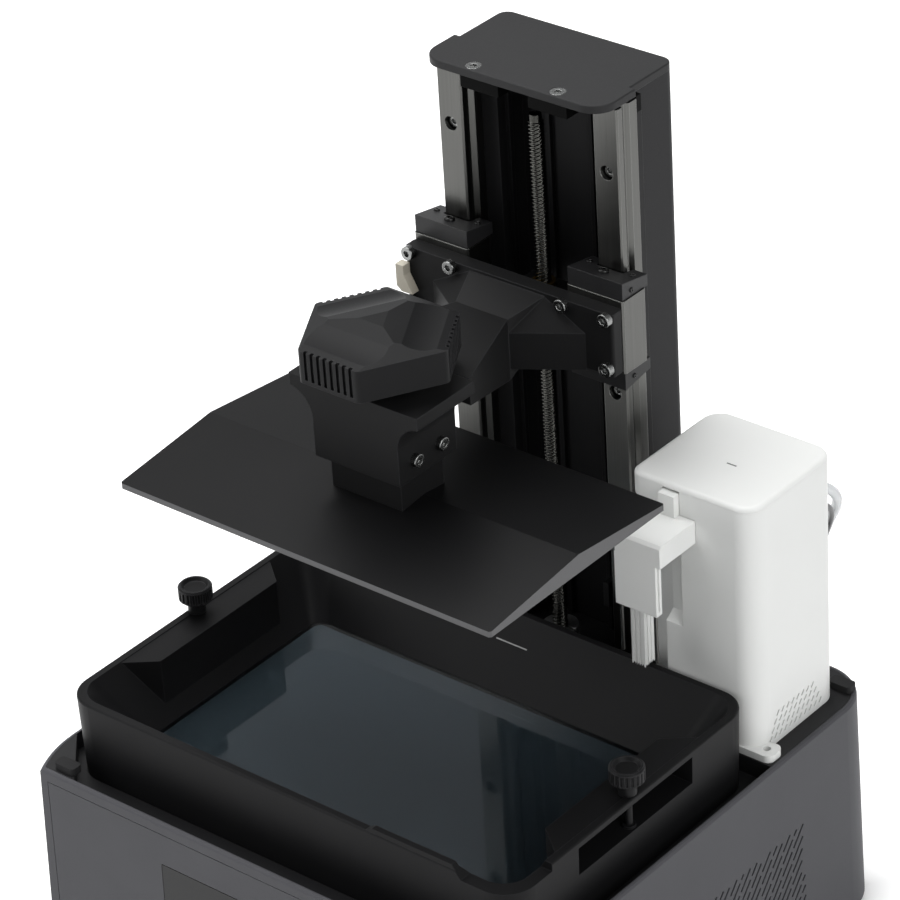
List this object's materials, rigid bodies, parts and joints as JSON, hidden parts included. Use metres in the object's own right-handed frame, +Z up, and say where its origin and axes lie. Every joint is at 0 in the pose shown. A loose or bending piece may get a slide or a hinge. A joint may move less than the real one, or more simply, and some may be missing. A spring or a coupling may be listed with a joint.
{
  "type": "resin printer",
  "caption": "Desktop resin printer: square base with touch screen, resin vat, build plate on a rail tower with clamp knob, and a white resin feeder with nozzle beside the tower.",
  "frame": {"origin": "on the table under the middle of the base", "axes": "+X to the user's right, +Y to the back, +Z up"},
  "size_m": [0.314, 0.3446, 0.4558],
  "materials": {
    "grey_housing": "fine matte moulding",
    "black_plastic": "satin black moulding",
    "vat_plastic": "satin dark moulding",
    "rubber": "matte",
    "black_glass": "polished black",
    "sheet_steel": "powder coat",
    "anodised": "black anodised",
    "bare_aluminium": "bare",
    "steel": "ground",
    "screw_steel": "dark oxide",
    "brass": "machined",
    "film": "clear film",
    "lens": "clear",
    "board": "solder mask",
    "motor_black": "semi gloss",
    "white_plastic": "satin white moulding",
    "cream_plastic": "cream moulding",
    "hose": "clear vinyl",
    "lead": "vinyl"
  },
  "bodies": {
    "base": {"base_shell": "grey_housing", "front_panel": "grey_housing", "touch_screen": "black_glass", "top_deck": "black_plastic", "lid_pads": "rubber", "bottom_plate": "sheet_steel", "rubber_feet": "rubber", "lcd_panel": "black_glass", "lcd_frame": "anodised", "light_box": "bare_aluminium", "fresnel_lens": "lens", "led_array": "board", "led_heatsink": "bare_aluminium", "fan_frame": "black_plastic", "main_board": "board", "power_inlet": "black_plastic", "rocker_housing": "black_plastic", "feeder_socket": "black_plastic", "tower_column": "anodised", "rear_cover": "sheet_steel", "top_cap": "sheet_steel", "tower_screws": "screw_steel", "rail_left": "steel", "rail_right": "steel", "z_motor": "motor_black", "motor_mount": "sheet_steel", "z_endstop": "black_plastic", "feeder_housing": "white_plastic", "feeder_lid": "white_plastic", "feeder_pump": "motor_black", "port_plate": "black_plastic", "feeder_hose": "hose", "intake_strainer": "steel", "feeder_lead": "lead", "lead_plug": "black_plastic"},
    "screw": {"lead_screw": "steel", "motor_coupler": "bare_aluminium"},
    "carriage": {"carriage_left": "steel", "carriage_right": "steel", "carriage_end_caps": "black_plastic", "arm": "anodised", "arm_screws": "screw_steel", "sensor_block": "cream_plastic", "lead_nut": "brass", "endstop_flag": "steel"},
    "platform": {"platform_bracket": "anodised", "platform_stub": "anodised", "build_plate": "anodised", "leveling_screws": "screw_steel"},
    "knob": {"clamp_knob": "black_plastic"},
    "vat": {"vat_tub": "vat_plastic", "film_frame": "anodised", "release_film": "film"},
    "thumb_left": {"thumb_screw_left": "black_plastic"},
    "thumb_right": {"thumb_screw_right": "black_plastic"},
    "nozzle": {"nozzle_head": "white_plastic", "nozzle_pipe": "white_plastic", "level_probes": "steel"},
    "rocker": {"power_rocker": "black_plastic"},
    "fan": {"fan_rotor": "black_plastic"}
  },
  "joints": [
    {"name": "z_travel", "type": "slide", "parent": "base", "child": "carriage", "axis": [0, 0, 1], "range_m": [-0.1497, 0.075]},
    {"name": "screw_turn", "type": "hinge", "parent": "base", "child": "screw", "pos_m": [0, 0.0864, 0.3], "axis": [0, 0, 1], "continuous": true},
    {"name": "platform_slide", "type": "slide", "parent": "carriage", "child": "platform", "axis": [0, -1, 0], "range_m": [0, 0.036]},
    {"name": "knob_turn", "type": "hinge", "parent": "platform", "child": "knob", "pos_m": [0, -0.0365, 0.36], "axis": [0, 0, 1], "continuous": true},
    {"name": "vat_lift", "type": "slide", "parent": "base", "child": "vat", "axis": [0, 0, 1], "range_m": [0, 0.009]},
    {"name": "thumb_left_turn", "type": "hinge", "parent": "vat", "child": "thumb_left", "pos_m": [-0.137, -0.0365, 0.17], "axis": [0, 0, 1], "continuous": true},
    {"name": "thumb_right_turn", "type": "hinge", "parent": "vat", "child": "thumb_right", "pos_m": [0.137, -0.0365, 0.17], "axis": [0, 0, 1], "continuous": true},
    {"name": "nozzle_pull", "type": "slide", "parent": "base", "child": "nozzle", "axis": [0, -1, 0], "range_m": [0, 0.008]},
    {"name": "rocker_tilt", "type": "hinge", "parent": "base", "child": "rocker", "pos_m": [-0.076, 0.14685, 0.038], "axis": [1, 0, 0], "range_deg": [-9, 9]},
    {"name": "fan_spin", "type": "hinge", "parent": "base", "child": "fan", "pos_m": [0.008, 0.14031, 0.052], "axis": [0, 1, 0], "continuous": true}
  ],
  "couplings": [
    {"joint": "screw_turn", "follows": "z_travel", "rad_per_m": 785.4}
  ]
}
